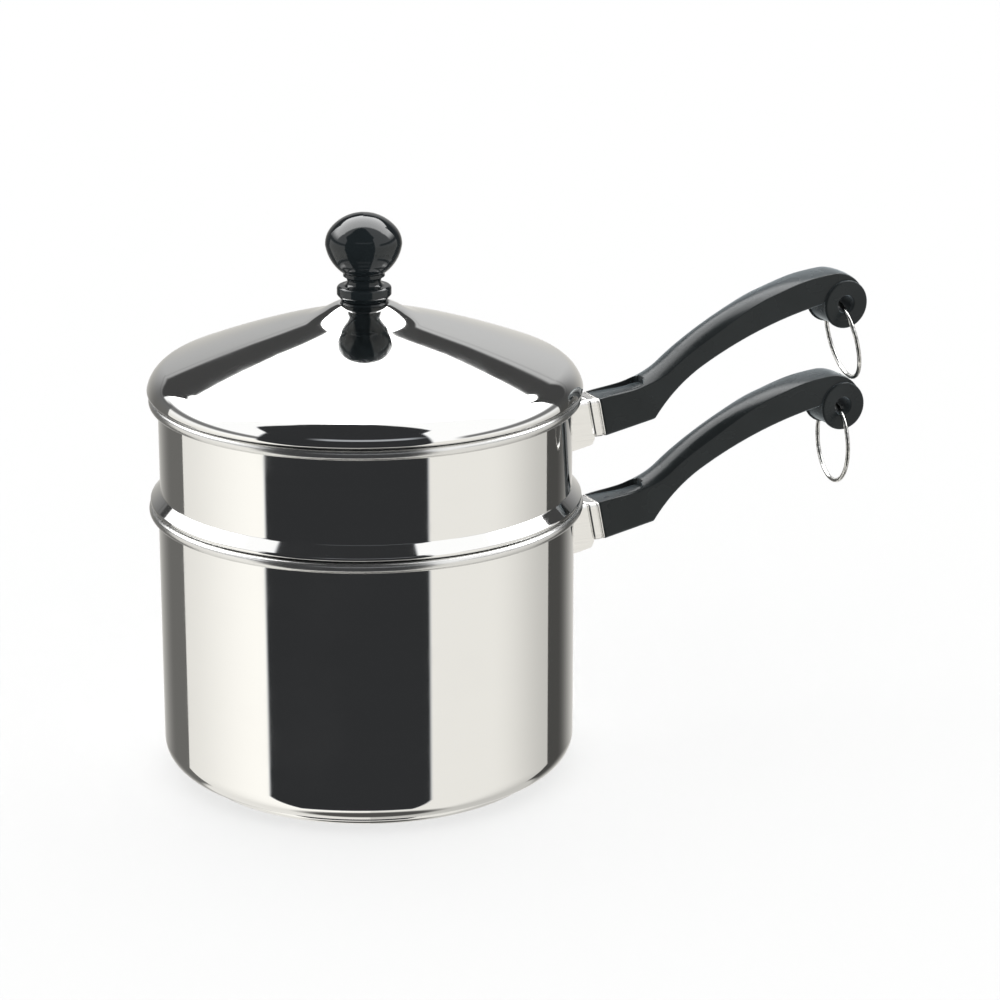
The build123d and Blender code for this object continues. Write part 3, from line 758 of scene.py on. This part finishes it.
def half_section(width, height, drop, channel_half, channel_depth):
    """From the middle of the top down one side to the middle of the underside."""
    bow = (width**2 + drop**2) / (2 * drop)
    points = []

    def crown(y):
        return height - (bow - sqrt(bow**2 - y**2))

    inner = min(scoop_floor_round, channel_half / 2, channel_depth / 2)
    outer = min(scoop_rail_round, channel_depth / 2)
    for step in range(4):
        y = (channel_half - inner) * step / 3
        points.append((y, crown(y) - channel_depth))
    for step in (30, 60, 90):
        angle = radians(step)
        points.append(
            (
                channel_half - inner + inner * sin(angle),
                crown(channel_half) - channel_depth + inner * (1 - cos(angle)),
            )
        )
    for step in (0, 45, 90):
        angle = radians(step)
        points.append(
            (
                channel_half + outer * (1 - cos(angle)),
                crown(channel_half) - outer * (1 - sin(angle)),
            )
        )
    slope = asin(width / bow)
    cut = edge_round * tan((pi / 2 - slope) / 2)
    crown_end = width - cut * cos(slope)
    rail_start = channel_half + outer
    for step in range(1, 7):
        y = rail_start + (crown_end - rail_start) * step / 6
        points.append((y, crown(y)))
    for step in range(1, 5):
        angle = slope + (pi / 2 - slope) * step / 4
        points.append(
            (width - edge_round * (1 - sin(angle)), height - drop - cut + edge_round * cos(angle))
        )
    flank_top, flank_foot = points[-1][1], foot_edge_round
    points += [(width, flank_top + (flank_foot - flank_top) * step / 3) for step in (1, 2, 3)]
    for step in range(18, 91, 18):
        angle = radians(step)
        points.append(
            (
                width - foot_edge_round * (1 - cos(angle)),
                foot_edge_round * (1 - sin(angle)),
            )
        )
    return points + [(0.0, 0.0)]


def length_of(line):
    return sum(hypot(b[0] - a[0], b[1] - a[1]) for a, b in zip(line.spots, line.spots[1:]))


def foot_under(place, foot, top_length, foot_length):
    """The point of the underside, or inside the boss, that a place along the top is joined to."""
    crest_at = crest_length_share * top_length
    if place <= scoop_length:
        return foot.at(place / scoop_length * root_length / foot_length)
    if place <= crest_at:
        share = (place - scoop_length) / (crest_at - scoop_length)
        return foot.at((root_length + share * (foot_length - root_length)) / foot_length)
    share = (place - crest_at) / (top_length - crest_at)
    tail = Vector(foot.at(1.0))
    centre = Vector((handle_reach, handle_rise))
    start_angle = atan2(tail.y - centre.y, tail.x - centre.x)
    angle = start_angle + (radians(boss_wrap) - start_angle) * share
    reach = hub_radius + ((tail - centre).length - hub_radius) * max(0.0, 1.0 - 4.0 * share) ** 2
    return centre.x + reach * cos(angle), centre.y + reach * sin(angle)


def half_width(share):
    """Half the handle's width by share of its length, one curve through root, grip and end."""
    return (
        handle_width / 2 * (1 - share) * (1 - 2 * share)
        + grip_half_width * 4 * share * (1 - share)
        + end_half_width * share * (2 * share - 1)
    )


def scoop_at(place, width):
    """Half the width and the depth of the scoop at a place along the top."""
    if place > scoop_length + scoop_close:
        return width / 2, 0.0
    wall = handle_width / 2 - scoop_rail
    depth = scoop_mouth + (scoop_depth - scoop_mouth) * place / scoop_length
    if place > scoop_length:
        depth *= max(0.0, 1.0 - ((place - scoop_length) / scoop_run_out)) ** 2
    near = place - (scoop_length - scoop_corner)
    if near > 0:
        wall -= scoop_corner - sqrt(max(scoop_corner**2 - min(near, scoop_corner) ** 2, 0.0))
    return wall, depth


def handle_places(top_length):
    """Where the sections stand: close at the joint's edge and the scoop's end, wider on the grip."""
    places = [0.02, 0.15, 0.3, 0.45, 0.6] + [1.0 + 0.8 * i for i in range(20)]
    places += [scoop_length - 4.2 + 0.2 * i for i in range(28)]
    place = scoop_length + 2.0
    while place < top_length:
        places.append(place)
        place += row_spacing
    return places + [top_length]


def handle_rows(joint_z):
    """Sections of the handle from its joint to the boss, each once round it from the top."""
    top, foot = handle_lines()
    top_length, foot_length = length_of(top), length_of(foot)
    rows = []
    for place in handle_places(top_length):
        top_x, top_z = top.at(place / top_length)
        foot_x, foot_z = foot_under(place, foot, top_length, foot_length)
        width = half_width(top_x / (handle_reach + boss_radius))
        inset = 0.0
        if place < root_round:
            inset = root_round - sqrt(root_round**2 - (root_round - place) ** 2)
        up = Vector((top_x - foot_x, top_z - foot_z))
        height = up.length
        up.normalize()
        half = half_section(width - inset, height - 2 * inset, crown_drop(place), *scoop_at(place, width))
        loop = half + [(-y, h) for y, h in reversed(half[1:-1])]
        rows.append(
            [
                (
                    handle_joint_x + foot_x + up.x * (h + inset),
                    y,
                    joint_z + foot_z + up.y * (h + inset),
                )
                for y, h in loop
            ]
        )
    return rows


def boss_outline():
    """Radius and half width of the boss: a rim each side, a groove inside it, and the ring's hole."""
    rim, groove_radius, groove_half = 0.8, 9.2, 6.35
    dish_width, dish_depth = 4.5, 0.35
    hole_round, edge_bevel = 0.5, 0.15
    hole = [(ring_hole_radius, 0.0), (ring_hole_radius, boss_half_width - dish_depth - hole_round)]
    hole.append((ring_hole_radius + edge_bevel, boss_half_width - dish_depth - edge_bevel))
    dish_slope = degrees(atan2(dish_depth, dish_width))
    face = Bend(ring_hole_radius + hole_round, boss_half_width - dish_depth, dish_slope)
    face.run(hypot(dish_width, dish_depth) - 0.1)
    face.heading = 0.0
    face.run(boss_radius - rim - face.x).turn(rim, -90.0, 12.0)
    groove = [(boss_radius, groove_half + 0.35), (boss_radius - edge_bevel, groove_half + edge_bevel)]
    groove += [(groove_radius + edge_bevel, groove_half), (groove_radius, groove_half - edge_bevel)]
    return hole + [(x, y) for x, y, _ in face.spots] + groove + [(groove_radius, 0.0)]


def boss_rows(boss_x, boss_z, sides=72):
    """Rows of the boss from one half of its hole over both faces to the other, each once round."""
    half = boss_outline()
    outline = half + [(r, -y) for r, y in reversed(half[:-1])]
    rows = []
    for radius, across in outline:
        rows.append(
            [
                (
                    boss_x + radius * cos(2 * pi * j / sides),
                    across,
                    boss_z + radius * sin(2 * pi * j / sides),
                )
                for j in range(sides)
            ]
        )
    return rows


def drilled(piece, bit):
    """Takes the bit's shape out of the piece, and the bit away."""
    cutter = piece.modifiers.new("drill", "BOOLEAN")
    cutter.object = bit
    cutter.operation = "DIFFERENCE"
    cutter.solver = "EXACT"
    settle(piece)
    bpy.data.objects.remove(bit)
    return piece


screw_distance, screw_recess_radius, screw_seat = 11.0, 3.9, 3.6
bit_sides, bit_stand_off = 40, 4.0
for level, body, rim_z, wall_radius in levels:
    joint_z = rim_z - handle_joint_drop
    grip = skin(f"{level}_grip", handle_rows(joint_z), [satin_black], capped=True)
    bit_rows = []
    for height in (-root_depth / 2 - bit_stand_off, -root_depth / 2 + screw_seat):
        row = []
        for j in range(bit_sides):
            turn = 2 * pi * j / bit_sides
            x, z = along_root(screw_distance + screw_recess_radius * cos(turn), height)
            row.append((handle_joint_x + x, screw_recess_radius * sin(turn), joint_z + z))
        bit_rows.append(row)
    grip = drilled(grip, skin("screw_bit", bit_rows, [satin_black], capped=True))
    fit(even_out(grip), body, "black_phenolic", f"{level}_handle")
    boss_x, boss_z = handle_joint_x + handle_reach, joint_z + handle_rise
    boss = skin(f"{level}_ring_boss", boss_rows(boss_x, boss_z), [satin_black])
    fit(even_out(boss), body, "black_phenolic")
    dress(f"{level}_handle_screw", screw_metal)

# Hanging rings. Bright stainless wire bent into a closed ring through each boss. The upper one
# leans out until it rests on the nose of the lower handle.
ring_radius, ring_wire = 16.3, 0.85
ring_twist = radians(9.0)
ring_sections, wire_sides = 120, 20
bright_wire, wire_shader, wire_place = finish("bright_wire", 1.0)
die_lines = wire_place.stretched(1.0, 1.0, 0.35).noise(1400.0, 3.0)
wire_up(
    wire_shader,
    wire_place,
    Base_Color=die_lines.ramp_up(0.35, 0.65).blend((0.80, 0.80, 0.78, 1.0), (0.34, 0.34, 0.33, 1.0)),
    Roughness=0.08 + 0.16 * die_lines,
    Normal=relief(wire_place, die_lines, 0.02),
)


def ring_rows(level, boss):
    """Sections of the wire round the ring, which hangs a little twisted in its hole."""
    low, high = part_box(f"{level}_hang_ring")
    centre = (Vector(low) + Vector(high)) / 2 / MM
    hang = centre - boss
    hang.normalize()
    across = Vector((-sin(ring_twist) * hang.z, cos(ring_twist), sin(ring_twist) * hang.x))
    side = across.cross(hang)
    rows = []
    for turn in (2 * pi * j / ring_sections for j in range(ring_sections)):
        out = hang * cos(turn) + across * sin(turn)
        rows.append(
            [
                tuple(centre + out * (ring_radius + ring_wire * cos(a)) + side * (ring_wire * sin(a)))
                for a in (2 * pi * j / wire_sides for j in range(wire_sides))
            ]
        )
    return rows + [rows[0]]


for level, body, rim_z, wall_radius in levels:
    boss = Vector((handle_joint_x + handle_reach, 0.0, rim_z - handle_joint_drop + handle_rise))
    ring = skin(f"{level}_wire_ring", ring_rows(level, boss), [bright_wire])
    fit(even_out(ring, 60.0), f"{level}_ring", "ring_wire", f"{level}_hang_ring")

# Camera. It stands where the rims, walls and handles of the photographed pan place it, in front of
# the pan and a little above the knob, with the handles to its right.
camera_place = Vector((-528.8, -1187.6, 513.0)) * MM
camera_heading = radians(26.27)
camera_dip = radians(17.36)
camera_focal_px = 3527.0
frame_px = 1000.0
sensor_mm = 36.0
camera_data = bpy.data.cameras.new("camera")
camera_data.sensor_width = sensor_mm
camera_data.lens = camera_focal_px * sensor_mm / frame_px
camera_data.clip_end = 20.0
camera = bpy.data.objects.new("camera", camera_data)
camera.location = camera_place
camera.rotation_euler = (pi / 2 - camera_dip, 0.0, -camera_heading)
bpy.context.scene.collection.objects.link(camera)
bpy.context.scene.camera = camera
bpy.context.scene.view_settings.view_transform = "Standard"

# Studio. A light tent round the pan: white cards left and right, a bright panel overhead and behind,
# a dark opening where the camera stands and a grey room at the back. The camera itself sees white.
world = bpy.data.worlds.new("studio")
bpy.context.scene.world = world
world.use_nodes = True
world.node_tree.nodes.clear()
room = Shade(world.node_tree)
ray_kind = room.node("ShaderNodeLightPath")
is_glossy = Shade(room.tree, ray_kind.outputs["Is Glossy Ray"])
is_camera = Shade(room.tree, ray_kind.outputs["Is Camera Ray"])
way_x, way_y, way_z = Shade(room.tree, room.node("ShaderNodeTexCoord").outputs["Generated"]).parts()
toward_camera = atan2(camera_place.y, camera_place.x)
bearing = room.math("ARCTAN2", way_y, way_x) * degrees(1.0) - degrees(toward_camera)
bearing = room.math("WRAP", bearing, 180.0, -180.0)
height = room.math("ARCSINE", way_z) * degrees(1.0)
away = way_x * -cos(toward_camera) + way_y * -sin(toward_camera)
aside = abs(bearing)
on_right = bearing > 0.0
tent_edge = 1.2
white, warm_card, cool_opening = (1.0, 1.0, 1.0, 1.0), (1.0, 0.98, 0.93, 1.0), (0.96, 1.0, 1.06, 1.0)


def between(value, low, high, soft=tent_edge):
    """1 between two limits and 0 beyond them, with a soft edge at each."""
    return value.ramp_up(low - soft, low + soft) * (high - value).ramp_up(-soft, soft)


# The cards at the sides, the panel that leans over from behind, and the seam under it
card_level, panel_level, seam_grey = 1.2, 6.0, 0.10
left_card = 1.0 - 0.24 * aside.ramp_up(60.0, 125.0)
right_card = 0.81 - 0.28 * aside.ramp_up(70.0, 121.0)
upper = height.ramp_up(-5.0, 12.0)
card = card_level * upper.fade(on_right.fade(left_card, right_card), 1.0)
card = card + panel_level * away.ramp_up(0.0, 0.08) * height.ramp_up(16.0, 36.0)
seam = between(height, 8.0, 16.0, 2.0) * between(aside, 50.0, 130.0, 5.0)
card = (0.9 * seam).fade(card, seam_grey)

# The dark opening round the camera, and the lamp's strip above it
opening_grey, lamp_level = 0.032, 0.45
left_edge = -57.6 - 14.0 * height.ramp_up(30.0, 45.0) - 14.0 * height.ramp_up(60.0, 85.0)
right_edge = 34.2 + 9.0 * height.ramp_up(40.0, 50.0)
opening = (bearing - left_edge).ramp_up(-tent_edge, tent_edge)
opening = opening * (right_edge - bearing).ramp_up(-tent_edge, tent_edge)
opening = opening * between(height, -60.0, 88.0, 2.0)
lamp_strip = between(height, 25.0, 30.5) * between(bearing, -26.0, 28.0, 8.0)
opening_level = opening_grey + lamp_level * lamp_strip

# The grey room behind, with a dark beam across it: the beam's upper and lower edge on each side
beam_grey, below_everything = 0.06, -70.0
left_top = 34.0 + 4.0 * aside.ramp_up(156.0, 168.0)
left_top = aside.ramp_up(136.5, 139.0).fade(13.0, left_top)
left_top = aside.ramp_up(120.0, 123.0).fade(below_everything, left_top)
right_top = 42.5 - 6.0 * aside.ramp_up(124.0, 133.0) + 5.0 * aside.ramp_up(155.0, 172.0)
right_side = (aside - 5.0 * height.ramp_up(20.0, 40.0)).ramp_up(118.5, 120.5)
right_top = right_side.fade(below_everything, right_top)
in_back = (on_right.fade(left_top, right_top) - height).ramp_up(-tent_edge, tent_edge)
left_low = 13.0 + 5.0 * aside.ramp_up(138.0, 156.0) + 5.0 * aside.ramp_up(161.0, 168.0)
right_low = 13.0 + 13.0 * aside.ramp_up(130.0, 158.0) + 4.0 * aside.ramp_up(158.0, 170.0)
left_grey = 0.16 + 0.35 * aside.ramp_up(138.0, 172.0)
right_grey = 0.075 + 0.53 * aside.ramp_up(132.0, 168.0)
back_grey = on_right.fade(left_grey, right_grey)
back_grey = back_grey + 0.20 * (-height).ramp_up(-10.0, 20.0) * aside.ramp_up(160.0, 178.0)
low_gap = on_right.fade(left_low, right_low) - height
below_beam = low_gap.ramp_up(-1.0, 1.0)
back_grey = back_grey * (1.0 - 0.25 * between(low_gap, 2.4, 3.2, 0.5))
back = below_beam.fade(beam_grey, back_grey)

# The whole tent: white again below the room, and dark straight down, a painted shadow of the pan on the
# floor under it
underfoot_shadow_grey = 0.09
below_room = (-height).ramp_up(38.0, 42.0)
tent_level = (in_back * (1.0 - below_room)).fade(card, back)
tent_level = opening.fade(tent_level, opening_level)
# Painted shadow: straight down, the tent goes dark for the pan's own shadow beneath it
tent_level = (-height).ramp_up(66.0, 76.0).fade(tent_level, underfoot_shadow_grey)
tent_tint = opening.blend(upper.blend(warm_card, white), cool_opening)
tent_light = room.node("ShaderNodeVectorMath", {"operation": "SCALE"}, s0=tent_tint, Scale=tent_level)
tent = Shade(room.tree, tent_light.outputs[0])
room_light = is_camera.blend(is_glossy.blend(white, tent), white)
background = room.node("ShaderNodeBackground", Color=room_light)
room.tree.links.new(background.outputs[0], room.node("ShaderNodeOutputWorld").inputs["Surface"])

# Floor. A thin pale sweep that only catches the pan's soft shadow. Reflections look through it to
# the tent, which goes on below it, and so does a view from underneath.
floor_half, floor_drop = 3.0, 0.0002
floor_bounce, floor_veil = (0.8, 0.8, 0.8, 1.0), 0.35
floor_mesh = bpy.data.meshes.new("floor")
corners = [(-floor_half, -floor_half, 0), (floor_half, -floor_half, 0), (floor_half, floor_half, 0)]
floor_mesh.from_pydata(corners + [(-floor_half, floor_half, 0)], [], [(0, 1, 2, 3)])
floor = bpy.data.objects.new("floor", floor_mesh)
floor.location.z = -floor_drop
bpy.context.scene.collection.objects.link(floor)
sweep, sweep_shader, sweep_place = finish("pale_sweep", 0.0)
sweep_shader.inputs["Roughness"].default_value = 1.0
sweep_shader.inputs["Specular IOR Level"].default_value = 0.0
rays = sweep_place.node("ShaderNodeLightPath")
seen = Shade(sweep_place.tree, rays.outputs["Is Camera Ray"])
mirrored = Shade(sweep_place.tree, rays.outputs["Is Glossy Ray"])
wire_up(sweep_shader, sweep_place, Base_Color=seen.blend(floor_bounce, white))
clear = sweep_place.node("ShaderNodeBsdfTransparent")
from_below = Shade(sweep_place.tree, sweep_place.node("ShaderNodeNewGeometry").outputs["Backfacing"])
veil = floor_veil * (1.0 - mirrored) * (1.0 - from_below)
mix = sweep_place.node("ShaderNodeMixShader", s0=1.0 - veil)
sweep_place.tree.links.new(sweep_shader.outputs[0], mix.inputs[1])
sweep_place.tree.links.new(clear.outputs[0], mix.inputs[2])
sweep_place.tree.links.new(mix.outputs[0], sweep.node_tree.nodes["Material Output"].inputs["Surface"])
floor_mesh.materials.append(sweep)
